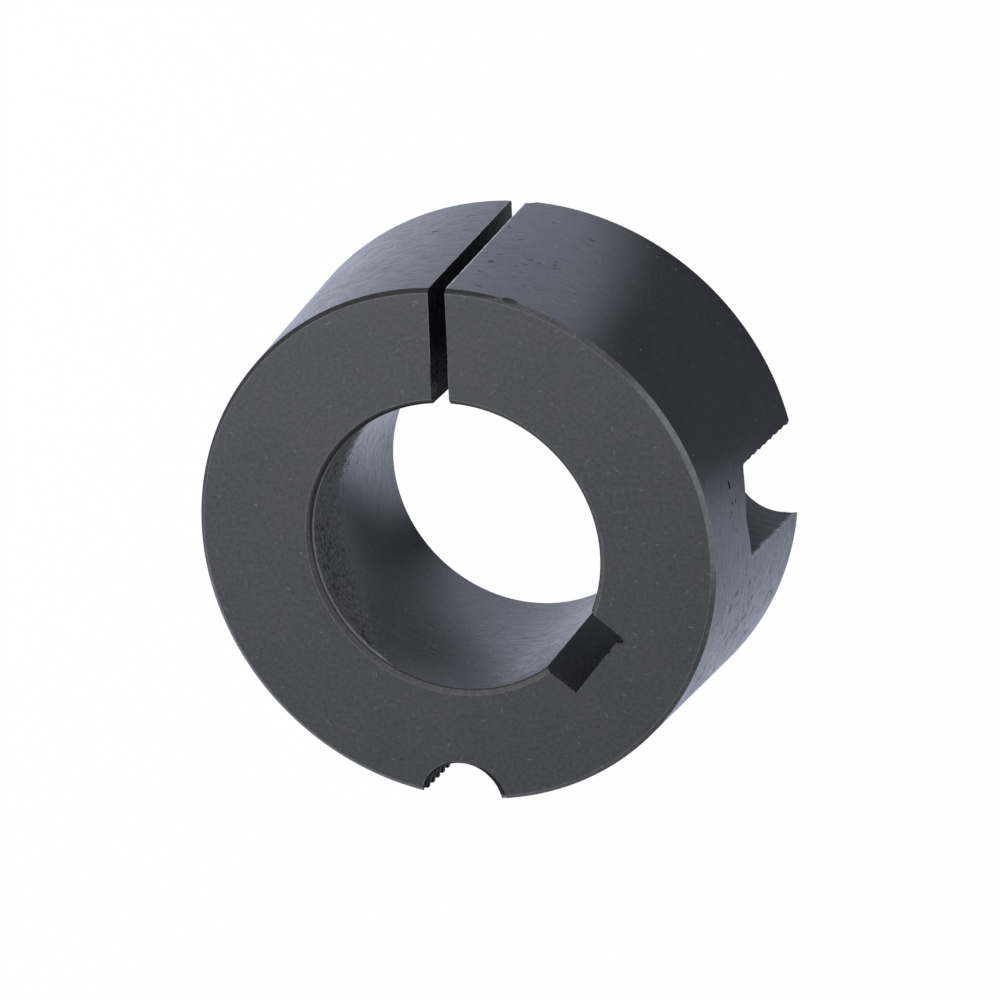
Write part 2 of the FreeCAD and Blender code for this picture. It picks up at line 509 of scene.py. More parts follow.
# The knocks and the pores
# The bush has been handled: its rims are dented in a few places and the broach tore one corner of
# the key slot. On the taper the tool opened small pores of the casting, which lie in clusters.
# Bearings are in degrees round the bush, and lengths in mm
KNOCKS = {
    "rim_dent": {
        "bearing": 75.4, "out": 28.27, "height": 26.6, "deep": 2.0, "along": 2.2, "tall": 3.0,
        "finish": "turned_taper"},
    "rim_dent_tail": {
        "bearing": 71.4, "out": 28.48, "height": 26.6, "deep": 2.0, "along": 2.9, "tall": 3.0,
        "finish": "turned_taper"},
    "far_corner_by_the_saw_cut": {
        "bearing": 88.8, "out": 28.9, "height": -0.1, "deep": 0.8, "along": 1.3, "tall": 1.0,
        "finish": "turned_taper"},
    "far_corner_across_the_saw_cut": {
        "bearing": 92.6, "out": 28.8, "height": -0.1, "deep": 0.5, "along": 0.7, "tall": 0.5,
        "finish": "turned_taper"},
    "torn_key_slot_corner": {
        "bearing": -25.8, "out": 18.75, "height": 25.5, "deep": 0.45, "along": 0.4, "tall": 0.9,
        "finish": "broached_key_slot"},
    "key_slot_floor_edge": {
        "bearing": -31.0, "out": 18.35, "height": 25.5, "deep": 0.22, "along": 0.3, "tall": 0.5,
        "finish": "broached_key_slot"},
    "lip_of_the_threaded_hole": {
        "bearing": -98.9, "out": 26.65, "height": 25.5, "deep": 0.4, "along": 0.45, "tall": 0.6,
        "finish": "turned_chamfers"},
    "other_lip_of_the_threaded_hole": {
        "bearing": -81.3, "out": 26.65, "height": 25.5, "deep": 0.45, "along": 0.5, "tall": 0.7,
        "finish": "turned_chamfers"},
    "long_pore": {
        "bearing": 13.6, "out": 27.3, "height": 18.72, "deep": 0.35, "along": 0.5, "tall": 0.17,
        "finish": "opened_pores"},
    "pore_beside_it": {
        "bearing": 9.6, "out": 27.3, "height": 18.9, "deep": 0.12, "along": 0.2, "tall": 0.1,
        "finish": "opened_pores"},
}
STAINS = {
    "right_of_the_saw_cut": {"bearing": 76, "height": 14, "spread": 20, "tall": 16, "dark": 0.8},
    "left_of_the_saw_cut": {"bearing": 104, "height": 5, "spread": 14, "tall": 9, "dark": 0.6},
    "upper_left": {"bearing": 126, "height": 13, "spread": 20, "tall": 12, "dark": 0.45},
    "by_the_screw_hole": {"bearing": 7, "height": 19, "spread": 9, "tall": 4, "dark": 0.7},
    "lower_right": {"bearing": -26, "height": 12, "spread": 30, "tall": 18, "dark": 1.0},
}
KNOCK_UNEVENNESS = 0.12
KNOCK_SUBDIVISIONS, PORE_SUBDIVISIONS = 4, 2
PORE_LENGTH = 0.2 * MM
PORE_WIDTH = 0.09 * MM
PORE_DEPTH = 0.05 * MM
PORES_PER_SQUARE_METRE = 500000.0
PORE_SEED = 11
# A pore is this many times its size, and up to so much more
LEAST_PORE, MORE_PORE = 0.4, 0.9
# The taper is where a face looks straight out by at least this much
TAPER_FACING = 0.95


def stained(bearing, height):
    """From 0 to 1, how stained and pitted the taper is at a bearing in degrees and a height in mm."""
    stain = 0.0
    for spot in STAINS.values():
        spread, tall = spot["spread"], spot["tall"]
        beside = abs(bearing - spot["bearing"]).ramp(spread * 0.4, spread, 1.0, 0.0)
        above = abs(height - spot["height"]).ramp(tall * 0.4, tall, 1.0, 0.0)
        stain = beside * above * spot["dark"] + stain
    return stain.within(0.0, 1.0)


def ball(tree, subdivisions):
    """A ball of radius one."""
    values = {"Radius": 1.0, "Subdivisions": subdivisions}
    return place(tree, "GeometryNodeMeshIcoSphere", values).outputs[0]


def drawn_out(tree, mesh, *reach):
    """A shape of radius one, drawn out so far along x, y and z."""
    values = {"Geometry": mesh, "Scale": point(tree, *reach)}
    return place(tree, "GeometryNodeTransform", values).outputs[0]


def knock(tree, mesh, given):
    """A rough round hollow, where something struck the bush or tore a crumb out of it."""
    x, y, z = here(tree)
    uneven = noise(tree, point(tree, x, y, z), scale=1.6) - 0.5
    size = uneven * given["Unevenness"] * 2.0 + 1.0
    crumb = reshape(tree, ball(tree, KNOCK_SUBDIVISIONS), x * size, y * size, z * size)
    crumb = drawn_out(tree, crumb, given["Deep"], given["Along"], given["Tall"])
    crumb = stand_at(tree, crumb, given["Bearing"], x=given["Out"], z=given["Height"])
    return cut_away(tree, mesh, crumb, given["Finish"])


def opened_pores(tree, mesh, given):
    """Small oval hollows on the stained parts of the taper, drawn out round the bush."""
    x, y, z = here(tree)
    bearing, out = bearing_of(x, y), distance_out(x, y)
    facing_x, facing_y = facing(tree)[:2]
    outwards = (facing_x * x + facing_y * y) / out
    on_taper = out.work("GREATER_THAN", given["Least Radius"])
    on_taper = on_taper * outwards.work("GREATER_THAN", TAPER_FACING)
    values = {"Mesh": mesh, "Selection": on_taper, "Density": given["Density"],
              "Seed": given["Seed"]}
    spots = place(tree, "GeometryNodeDistributePointsOnFaces", values).outputs["Points"]
    oval = ball(tree, PORE_SUBDIVISIONS)
    oval = drawn_out(tree, oval, given["Depth"], given["Pore Length"], given["Width"])
    chance = Measure(tree, place(tree, "FunctionNodeRandomValue", data_type="FLOAT").outputs[1])
    some = place(tree, "FunctionNodeRandomValue", {"Seed": given["Seed"]}, data_type="FLOAT")
    size = Measure(tree, some.outputs[1]) * MORE_PORE + LEAST_PORE
    in_mm = point(tree, x / MM, y / MM, z / MM)
    clusters = noise(tree, in_mm, scale=0.35, detail=2.0).ramp(0.4, 0.6)
    share = stained(bearing * degrees(1), z / MM) * clusters
    values = {"Points": spots, "Instance": oval, "Rotation": spin_by(tree, bearing),
              "Selection": (share - chance).work("GREATER_THAN", 0.0),
              "Scale": point(tree, size, size, size)}
    pores = place(tree, "GeometryNodeInstanceOnPoints", values).outputs[0]
    return cut_away(tree, mesh, pores, given["Finish"])


machine(bush, "opened_pores", {
    "Least Radius": (small_radius + bore_radius) / 2,
    "Density": PORES_PER_SQUARE_METRE,
    "Seed": PORE_SEED,
    "Pore Length": PORE_LENGTH,
    "Width": PORE_WIDTH,
    "Depth": PORE_DEPTH,
    "Finish": bpy.data.materials.new("opened_pores"),
}, opened_pores)
for name, spot in KNOCKS.items():
    lengths = ("Out", "Height", "Deep", "Along", "Tall")
    machine(bush, name, {
        **{label: spot[label.lower()] * MM for label in lengths},
        "Bearing": radians(spot["bearing"]),
        "Unevenness": KNOCK_UNEVENNESS / spot["deep"],
        "Finish": bpy.data.materials[spot["finish"]],
    }, knock)

# The finished bush
# All this work leaves one piece of iron. Its turned and drilled surfaces are smooth and round, its
# ends are flat, and every edge between them is as crisp as the tool left it.
SHARP_ANGLE = radians(14)
FLAT_FACING = 0.999


def smooth_between_edges(tree, mesh, given):
    """Round surfaces shade smoothly, the flat ends stay flat, and every real edge stays crisp."""
    values = {"Geometry": mesh, "Shade Smooth": abs(facing(tree)[2]).work("LESS_THAN", FLAT_FACING)}
    mesh = place(tree, "GeometryNodeSetShadeSmooth", values, domain="FACE").outputs[0]
    turn = Measure(tree, place(tree, "GeometryNodeInputMeshEdgeAngle").outputs[0])
    soft = turn.work("LESS_THAN", given["Sharp Angle"])
    values = {"Geometry": mesh, "Shade Smooth": soft}
    return place(tree, "GeometryNodeSetShadeSmooth", values, domain="EDGE").outputs[0]


machine(bush, "smooth_between_edges", {"Sharp Angle": SHARP_ANGLE}, smooth_between_edges)

graph = bpy.context.evaluated_depsgraph_get()
finished = bpy.data.meshes.new_from_object(bush.evaluated_get(graph))
bush.modifiers.clear()
bush.data = finished
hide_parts("taper_bush")
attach(bush, "root")

# The black finish
# The machined bush is phosphated and oiled: a thin matt black coat, through which the tools' marks
# and the iron's grain show. It is bare along the edges, scratched, stained and pitted in places.
# The pits' near black, which the chamfers also take as painted shade
PIT_AND_PAINTED_SHADE_COLOUR = (0.004, 0.004, 0.005)
FILM_COLOUR = (0.205, 0.205, 0.213)
# One finish: its colours in patches, its roughness and gloss, the tool's lines and the iron's grain,
# how strong each mark of use is on it, and on the chamfers a painted shade and a painted highlight.
# Lengths are in mm.
LOOK = {
    "dark": (0.035, 0.0365, 0.041), "light": (0.036, 0.037, 0.045), "roughness": 0.42, "sheen": 0.5,
    "feed": 0.12, "mark_depth": 0.006, "grain_depth": 0.008, "line_contrast": 0.35,
    "grain_contrast": 1.3, "streaks": 0.0, "pits": 0.0, "pit_depth": 0.03,
    "film": 0.0, "painted_highlight": None,
    "bare": (0.2, 0.205, 0.22), "wear": 0.28, "wear_and_painted_shade_width": 0.12, "wear_gaps": 0.28, "painted_shade": 0.0,
    "flecks": 0.4, "scratches": 0.22,
}
# How many of a pattern's lumps go to a mm across and along the tool's path, and how strong it is
MARKS_ALONG, BROAD_MARKS_ACROSS, BROAD_MARKS_ALONG = 0.03, 0.13, 0.5
FINE_MARKS, BROAD_MARKS = 0.7, 0.3
PITS_FROM, PITS_SOFTNESS = 0.72, 0.14
STREAKS_ACROSS, STREAKS_ALONG = 2.4, 0.5
FILM_RAGGEDNESS = 3.4
FLECK_CELLS, FLECK_SIZE, FLECK_STRENGTH = 1.3, 0.19, 0.27
SCRATCH_CELLS, SCRATCH_LENGTH, SCRATCH_WIDTH = 0.8, 0.6, 0.09
SCRATCH_STRENGTH, LONG_SCRATCH_STRENGTH = 0.04, 0.25
WEAR_SOFTNESS = 0.18
# Flecks, scratches and wear reach their full strength at this share of their width
FULL_STRENGTH_FROM = 0.3
SAW_LINE_ANGLE = radians(35.0)
SAW_PASS_EDGE, SAW_PASS_SOFTNESS, SAW_PASS_SLOPE = 16.85, 0.2, -0.056
BAND_BEARING, BAND_WIDTH, BAND_LEAST_WIDTH = 165.0, 8.0, 0.6
# The chamfers' painted shade is widest towards this bearing, so many times wider in the bore and on the
# rim
PAINTED_SHADE_BEARING, PAINTED_SHADE_WIDER_IN_BORE, PAINTED_SHADE_WIDER_ON_RIM = 135.0, 3.2, 4.0
# The rim's chamfer takes a painted highlight towards this bearing
PAINTED_HIGHLIGHT_BEARING = 20.0
DRILL_RING_SLANT = 0.04
LEFT_EDGE_LESS_WORN = 0.15
# How far the tool goes while it turns through one radian, in mm
END_PATH, BORE_PATH, TAPER_PATH = 20.0, 15.0, 28.0
FAR_FROM_EDGES, NO_STAIN = 9.0, 0.0
GRAIN_ROUGHNESS, PATCH_ROUGHNESS, TORN_ROUGHNESS = 0.2, 0.15, 0.4
STREAK_RELIEF = 0.03
LEAST_SHADE = 0.2
# A Mix node has its sockets once for each kind of value, and these are the ones for colours
MIX_SHARE, MIX_FIRST, MIX_SECOND, MIX_RESULT = 0, 6, 7, 2


def shared_effect(steps, inputs, outputs):
    """A shader node group with named inputs and outputs, for an effect that several finishes have."""
    group = bpy.data.node_groups.new(steps.__name__, "ShaderNodeTree")
    for label, kind in inputs.items():
        group.interface.new_socket(label, in_out="INPUT", socket_type=kind)
    for label in outputs:
        group.interface.new_socket(label, in_out="OUTPUT", socket_type="NodeSocketFloat")
    entry = group.nodes.new("NodeGroupInput").outputs
    given = {label: entry[label] for label in inputs if inputs[label] == "NodeSocketVector"}
    given.update({label: Measure(group, entry[label]) for label in inputs if label not in given})
    leave = group.nodes.new("NodeGroupOutput").inputs
    for label, value in zip(outputs, steps(group, given)):
        connect(group, leave[label], value)
    return group


def effect(tree, group, values):
    """Place a shared effect in a finish and give back what it puts out."""
    node = place(tree, "ShaderNodeGroup", values, node_tree=group)
    return [Measure(tree, output) for output in node.outputs]


def machining_marks(tree, given):
    """Fine uneven grooves that run along the tool's path, a feed apart.

    A pattern's third coordinate only keeps it apart from the other patterns.
    """
    across = given["Across"] / given["Feed"]
    along = given["Along"] * MARKS_ALONG
    fine = noise(tree, point(tree, across, along, 0.0), roughness=0.7)
    broad = point(tree, across * BROAD_MARKS_ACROSS, along * BROAD_MARKS_ALONG, 7.0)
    broad = noise(tree, broad, detail=2.0, roughness=0.5)
    return [fine * FINE_MARKS + broad * BROAD_MARKS]


def iron_grain(tree, given):
    """The fine grain of the blackened iron and its broad cloudy patches."""
    grain = noise(tree, given["Position"], scale=2.4, detail=4.0, roughness=0.65)
    patches = noise(tree, given["Position"], scale=0.16, detail=4.0)
    return [grain, patches]


def opened_pits(tree, given):
    """Specks where the tool tore the iron's grain open, drawn out along its path, in clusters."""
    across, along = given["Across"], given["Along"]
    specks = noise(tree, point(tree, across * 1.9, along * 0.8, 3.0))
    clusters = noise(tree, point(tree, across * 0.3, along * 0.16, 5.0))
    reach = PITS_FROM - given["Stain"] * clusters.ramp(0.3, 0.65, 0.05, 0.2)
    return [specks.ramp(reach, reach + PITS_SOFTNESS) * given["Stain"].ramp(0.0, 0.15)]


def tool_streaks(tree, given):
    """Short uneven streaks along the tool's path, rougher and smoother by turns."""
    across, along = given["Across"] * STREAKS_ACROSS, given["Along"] * STREAKS_ALONG
    return [noise(tree, point(tree, across, along, 9.0), roughness=0.65) - 0.5]


def dull_film(tree, given):
    """A dull, speckled film with a ragged border, as rust leaves it under the black."""
    spot = point(tree, given["Across"], given["Along"] * 0.7, 2.0)
    cloud = noise(tree, spot, scale=1.6, detail=8.0, roughness=0.8)
    specks = noise(tree, spot, scale=3.4, roughness=0.7)
    film = (given["Stain"] + (cloud - 0.5) * FILM_RAGGEDNESS).ramp(0.25, 0.75)
    return [film, specks.ramp(0.4, 0.6)]


def light_flecks(tree, given):
    """Tiny spots where the black has come off: a share of the cells of a random pattern."""
    values = {"Vector": given["Position"], "Scale": FLECK_CELLS}
    cells = place(tree, "ShaderNodeTexVoronoi", values)
    pick = axes(tree, cells.outputs["Color"])
    near = Measure(tree, cells.outputs["Distance"])
    size = (pick[1] * 0.8 + 0.4) * (FLECK_SIZE * FLECK_CELLS)
    strength = pick[0].work("LESS_THAN", given["Share"]) * pick[2] * FLECK_STRENGTH
    return [near.ramp(size, size * FULL_STRENGTH_FROM) * strength]


def short_scratches(tree, given):
    """Short bright scratches, each in its own direction, in a share of the cells."""
    flat = point(tree, given["Across"] * SCRATCH_CELLS, given["Along"] * SCRATCH_CELLS, 0.0)
    cells = place(tree, "ShaderNodeTexVoronoi", {"Vector": flat, "Scale": 1.0},
                  voronoi_dimensions="2D")
    pick = axes(tree, cells.outputs["Color"])
    middle = cells.outputs["Position"]
    away = place(tree, "ShaderNodeVectorMath", [flat, middle], operation="SUBTRACT").outputs[0]
    right, up = axes(tree, away)[:2]
    turn = pick[0] * pi
    lengthwise = right * turn.work("COSINE") + up * turn.work("SINE")
    sideways = up * turn.work("COSINE") - right * turn.work("SINE")
    half = (pick[1] * 0.8 + 0.2) * (SCRATCH_LENGTH * SCRATCH_CELLS / 2)
    width = SCRATCH_WIDTH * SCRATCH_CELLS
    line = abs(sideways).ramp(width, width * FULL_STRENGTH_FROM)
    line = line * abs(lengthwise).ramp(half, half * 0.6)
    strength = pick[1] * LONG_SCRATCH_STRENGTH + SCRATCH_STRENGTH
    return [line * pick[2].work("LESS_THAN", given["Share"]) * strength]


def edge_wear(tree, given):
    """Bare metal in an uneven line along an edge."""
    uneven = noise(tree, given["Position"], scale=1.1, roughness=0.7)
    width = given["Width"] * uneven.ramp(0.25, 0.75, 0.6, 1.4)
    line = given["Distance"].ramp(width, width * FULL_STRENGTH_FROM)
    return [line * uneven.ramp(given["Gaps"], given["Gaps"] + WEAR_SOFTNESS)]


VECTOR, NUMBER = "NodeSocketVector", "NodeSocketFloat"
PATH = {"Across": NUMBER, "Along": NUMBER}
marks_effect = shared_effect(machining_marks, {**PATH, "Feed": NUMBER}, ["Height"])
grain_effect = shared_effect(iron_grain, {"Position": VECTOR}, ["Grain", "Patches"])
pits_effect = shared_effect(opened_pits, {**PATH, "Stain": NUMBER}, ["Pits"])
streaks_effect = shared_effect(tool_streaks, PATH, ["Streaks"])
film_effect = shared_effect(dull_film, {**PATH, "Stain": NUMBER}, ["Film", "Specks"])
flecks_effect = shared_effect(light_flecks, {"Position": VECTOR, "Share": NUMBER}, ["Flecks"])
scratches_effect = shared_effect(short_scratches, {**PATH, "Share": NUMBER}, ["Scratches"])
WEAR_INPUTS = {"Position": VECTOR, "Distance": NUMBER, "Width": NUMBER, "Gaps": NUMBER}
wear_effect = shared_effect(edge_wear, WEAR_INPUTS, ["Wear"])


def blend(tree, amount, first, second):
    """A colour between two colours."""
    values = {MIX_SHARE: amount, MIX_FIRST: first, MIX_SECOND: second}
    return place(tree, "ShaderNodeMix", values, data_type="RGBA").outputs[MIX_RESULT]


def blacken(name, lay_out, look):
    """Give a machined surface its black finish.

    lay_out gives, in mm, the distances across and along the tool's path and to the nearest worn
    edge, on the chamfers to the edge that takes painted shade, and from 0 to 1 how stained the spot
    is; on the chamfers, how much painted highlight it takes.
    """
    material = bpy.data.materials[name]
    material.use_nodes = True
    tree = material.node_tree
    shader = tree.nodes["Principled BSDF"]
    shader.inputs["Specular IOR Level"].default_value = look["sheen"]
    spot = place(tree, "ShaderNodeTexCoord").outputs["Object"]
    values = {"Vector": spot, "Scale": (1 / MM, 1 / MM, 1 / MM)}
    position = place(tree, "ShaderNodeMapping", values).outputs[0]
    across, along, to_edge, stain = lay_out(*axes(tree, position))
    path = {"Across": across, "Along": along}
    height, = effect(tree, marks_effect, {**path, "Feed": look["feed"]})
    grain, patches = effect(tree, grain_effect, {"Position": position})
    flecks, = effect(tree, flecks_effect, {"Position": position, "Share": look["flecks"]})
    scratches, = effect(tree, scratches_effect, {**path, "Share": look["scratches"]})
    values = {"Position": position, "Distance": to_edge, "Width": look["wear_and_painted_shade_width"],
              "Gaps": look["wear_gaps"]}
    wear, = effect(tree, wear_effect, values)
    colour = blend(tree, patches.ramp(0.35, 0.65), (*look["dark"], 1), (*look["light"], 1))
    rough = (grain - 0.5) * GRAIN_ROUGHNESS + (patches - 0.5) * PATCH_ROUGHNESS + look["roughness"]
    relief = height * look["mark_depth"] + grain * look["grain_depth"]
    if look["streaks"]:
        streaks, = effect(tree, streaks_effect, path)
        rough = rough + streaks * look["streaks"]
        relief = relief + streaks * look["streaks"] * STREAK_RELIEF
    if look["film"]:
        film, specks = effect(tree, film_effect, {**path, "Stain": stain})
        film = film * look["film"]
        coat = blend(tree, specks * 0.7 + 0.3, (*PIT_AND_PAINTED_SHADE_COLOUR, 1), (*FILM_COLOUR, 1))
        colour = blend(tree, film, colour, coat)
        rough = rough + film * TORN_ROUGHNESS
    # Painted highlight: on the chamfers this paints the rim a lighter blue-grey
    if look["painted_highlight"]:
        colour = blend(tree, stain, colour, (*look["painted_highlight"], 1))
    if look["pits"]:
        pits = effect(tree, pits_effect, {**path, "Stain": stain})[0] * look["pits"]
        colour = blend(tree, pits, colour, (*PIT_AND_PAINTED_SHADE_COLOUR, 1))
        rough = rough + pits * TORN_ROUGHNESS
        relief = relief - pits * look["pit_depth"]
    lined = (height - 0.5) * look["line_contrast"] + (grain - 0.5) * look["grain_contrast"] + 1.0
    lined = lined.work("MAXIMUM", LEAST_SHADE)
    shade = place(tree, "ShaderNodeVectorMath", [colour, point(tree, lined, lined, lined)],
                  operation="MULTIPLY").outputs[0]
    # Painted shade: on the chamfers the colour goes near black towards their lower edge
    if look["painted_shade"]:
        painted_shade = to_edge.ramp(look["wear_and_painted_shade_width"], look["wear_and_painted_shade_width"] * 0.4) * look["painted_shade"]
        shade = blend(tree, painted_shade, shade, (*PIT_AND_PAINTED_SHADE_COLOUR, 1))
    bare = (wear * look["wear"] + flecks + scratches).within(0.0, 1.0)
    connect(tree, shader.inputs["Base Color"], blend(tree, bare, shade, (*look["bare"], 1)))
    connect(tree, shader.inputs["Roughness"], rough)
    values = {"Strength": 1.0, "Distance": MM, "Height": relief}
    connect(tree, shader.inputs["Normal"], place(tree, "ShaderNodeBump", values).outputs[0])


def saw_cut_middle(z):
    """Where the saw cut's middle is, sideways, at a height."""
    return (length / MM - z) * tan(SAW_CUT_LEAN) + SAW_CUT_OFFSET / MM


def beside_saw_cut(x, y, z):
    """How far a spot on the saw cut's side of the bush is from the cut's nearest edge."""
    from_middle = abs(x - saw_cut_middle(z))
    return abs(from_middle - SAW_CUT_WIDTH_AT_RIM / MM / 2) + y.work("LESS_THAN", 0.0) * FAR_FROM_EDGES


def under_the_taper(x, y, z):
    """How far a spot in a half-hole is from the tapered outside, which its lips lie on."""
    return large_radius / MM - z * tan(TAPER_HALF_ANGLE) - distance_out(x, y)


def towards(x, y, bearing):
    """One on the side of the bush at a bearing in degrees, none beside it, minus one opposite."""
    return (x * cos(radians(bearing)) + y * sin(radians(bearing))) / distance_out(x, y)


def beside_threaded_hole(x, y):
    """How far a spot on an end is from the edge of the threaded hole's countersink."""
    middle = hole_circle_radius + THREAD_HOLE_FARTHER_OUT
    right = x - middle * cos(THREAD_HOLE_ANGLE) / MM
    up = y - middle * sin(THREAD_HOLE_ANGLE) / MM
    mouth = thread_radius - THREAD_DEPTH + THREAD_MOUTH_CHAMFER
    return abs(distance_out(right, up) - mouth / MM)


def flat_end(x, y, z):
    """Turned end: the tool's path is a spiral round the bore; every edge is a little worn."""
    out = distance_out(x, y)
    rim = large_radius / MM - z * tan(TAPER_HALF_ANGLE) - SMALL_RIM_CHAMFER / MM
    to_edge = abs(out - (bore_radius + BORE_CHAMFER) / MM).work("MINIMUM", abs(rim - out))
    to_edge = to_edge.work("MINIMUM", beside_saw_cut(x, y, z))
    to_edge = to_edge.work("MINIMUM", beside_threaded_hole(x, y))
    return out, bearing_of(x, y) * END_PATH, to_edge, NO_STAIN


def chamfered_rim(x, y, z):
    """Turned chamfer: painted shade by its lower edge, widest on one side; painted highlight on the
    rim.
    """
    to_end = abs(z - length / MM).work("MINIMUM", abs(z))
    on_rim = distance_out(x, y).work("GREATER_THAN", (bore_radius + small_radius) / 2 / MM)
    lower = on_rim * (SMALL_RIM_CHAMFER - BORE_CHAMFER) / MM - to_end + BORE_CHAMFER / MM
    on_painted_shade_side = towards(x, y, PAINTED_SHADE_BEARING)
    wide_in_bore = on_painted_shade_side.ramp(0.5, 1.0, 1.0, PAINTED_SHADE_WIDER_IN_BORE)
    wide_on_rim = on_painted_shade_side.ramp(0.4, 0.8, 1.0, PAINTED_SHADE_WIDER_ON_RIM)
    widened = on_rim * (wide_on_rim - wide_in_bore) + wide_in_bore
    to_edge = lower / widened + on_rim * on_painted_shade_side.ramp(0.3, 0.6, 1.0, 0.0)
    # Painted highlight on the outer rims, towards one bearing
    painted_highlight_share = on_rim * towards(x, y, PAINTED_HIGHLIGHT_BEARING).ramp(0.88, 0.97)
    return z, bearing_of(x, y) * END_PATH, to_edge, painted_highlight_share


def tapered_outside(x, y, z):
    """Turned taper: the tool's path winds up the outside, and the stains lie where they lie."""
    bearing = bearing_of(x, y)
    on_left = x.work("LESS_THAN", saw_cut_middle(z))
    to_edge = beside_saw_cut(x, y, z) + on_left * LEFT_EDGE_LESS_WORN
    return z, bearing * TAPER_PATH, to_edge, stained(bearing * degrees(1), z)


def round_bore(x, y, z):
    """Bored hole: the path winds up the inside; by the small end lies a dull band, worn at its edge."""
    from_end = (length - BORE_CHAMFER) / MM - z
    in_band = towards(x, y, BAND_BEARING)
    band = in_band.ramp(0.2, 0.9, BAND_LEAST_WIDTH, BAND_WIDTH)
    stain = from_end.ramp(band * 1.5, band * 0.5) * in_band.ramp(0.0, 0.5, 0.1, 1.0)
    to_edge = abs(from_end) + in_band.ramp(0.0, 0.4, 1.0, 0.0)
    return z, bearing_of(x, y) * BORE_PATH, to_edge, stain


def key_slot_walls(x, y, z):
    """Broached walls: the lines run straight along the slot."""
    outward = x * cos(KEY_SLOT_ANGLE) + y * sin(KEY_SLOT_ANGLE)
    sideways = y * cos(KEY_SLOT_ANGLE) - x * sin(KEY_SLOT_ANGLE)
    return outward + sideways, z, FAR_FROM_EDGES, NO_STAIN


def sawn_walls(x, y, z):
    """Sawn walls: coarse lines at a slant, and a dull film as far out as the last pass."""
    across = y * sin(SAW_LINE_ANGLE) + z * cos(SAW_LINE_ANGLE)
    along = y * cos(SAW_LINE_ANGLE) - z * sin(SAW_LINE_ANGLE)
    last_pass = y + (length / MM - z) * SAW_PASS_SLOPE
    stain = last_pass.ramp(SAW_PASS_EDGE + SAW_PASS_SOFTNESS, SAW_PASS_EDGE)
    return across, along, FAR_FROM_EDGES, stain


def drilled_walls(x, y, z):
    """Drilled walls: rings round the drill's axis, bright where the lips are torn."""
    return z + y * DRILL_RING_SLANT, x + y, abs(under_the_taper(x, y, z)), NO_STAIN


# The finishes that several surfaces start from: the dull black of the cuts, and the oiled black.
# On the sawn walls the dull black's near-black colours are partly their own black, partly painted
# shade.
BLACK = {**LOOK, "dark": (0.004, 0.004, 0.005), "light": (0.006, 0.006, 0.007), "sheen": 0.15,
         "roughness": 0.6, "flecks": 0.0, "scratches": 0.0, "wear": 0.0}
OILED = {**LOOK, "dark": (0.021, 0.021, 0.025), "light": (0.029, 0.029, 0.034), "roughness": 0.29,
         "streaks": 0.45, "line_contrast": 0.5, "bare": (0.5, 0.51, 0.55), "pits": 0.9,
         "flecks": 0.1, "scratches": 0.08}
blacken("turned_end_faces", flat_end, LOOK)
# The chamfers carry painted shade along their lower edges and a painted highlight on the rim
blacken("turned_chamfers", chamfered_rim, {
    **LOOK, "dark": (0.072, 0.072, 0.077), "light": (0.088, 0.088, 0.094), "wear": 0.0,
    "wear_and_painted_shade_width": 0.16, "painted_shade": 0.76, "painted_highlight": (0.2, 0.203, 0.228)})
blacken("turned_taper", tapered_outside, {
    **OILED, "wear": 1.0, "wear_and_painted_shade_width": 0.2, "wear_gaps": 0.25})
blacken("turned_bore", round_bore, {
    **OILED, "film": 1.0, "wear": 1.0, "wear_and_painted_shade_width": 0.7, "wear_gaps": 0.15})
blacken("broached_key_slot", key_slot_walls, {
    **BLACK, "dark": (0.034, 0.034, 0.038), "light": (0.054, 0.054, 0.06), "sheen": 0.2,
    "feed": 0.25, "grain_contrast": 4.0})
# Sawn walls: near black, partly the cut's own black and partly painted shade in the narrow cut
blacken("sawn_walls", sawn_walls, {
    **BLACK, "feed": 0.35, "mark_depth": 0.05, "line_contrast": 0.8, "film": 0.8})
blacken("drilled_half_holes", drilled_walls, {
    **LOOK, "dark": (0.008, 0.008, 0.012), "light": (0.016, 0.016, 0.022), "sheen": 0.3,
    "feed": 0.3, "mark_depth": 0.02, "line_contrast": 0.6, "bare": (0.75, 0.76, 0.82),
    "wear": 1.0, "wear_and_painted_shade_width": 0.8, "wear_gaps": 0.15, "flecks": 0.0, "scratches": 0.0})
blacken("opened_pores", tapered_outside, {
    **LOOK, "dark": (0.01, 0.01, 0.011), "light": (0.015, 0.015, 0.016), "sheen": 0.2,
    "wear": 0.0})
blacken("threaded_half_hole", drilled_walls, {
    **LOOK, "feed": 0.2, "dark": (0.006, 0.006, 0.007), "light": (0.012, 0.012, 0.014),
    "sheen": 0.2, "roughness": 0.55, "wear": 0.0, "flecks": 0.0, "scratches": 0.0})

# The floor, the light and the camera
# The bush stands on a white floor in a white tent, which is open low down: its walls are darker
# near the floor. Two soft lamps light it. The camera looks down on the small end from one side.
FLOOR_SIDE = 3.0
FLOOR_GAP = 0.01 * MM
FLOOR_COLOUR = (0.78, 0.81, 0.9, 1)
FLOOR_ROUGHNESS = 0.9
WHITE = (1, 1, 1, 1)
SKY_COLOUR = (0.96, 0.97, 1.0, 1)
HORIZON_COLOUR = (0.16, 0.16, 0.17, 1)
HORIZON_RISE = 0.45
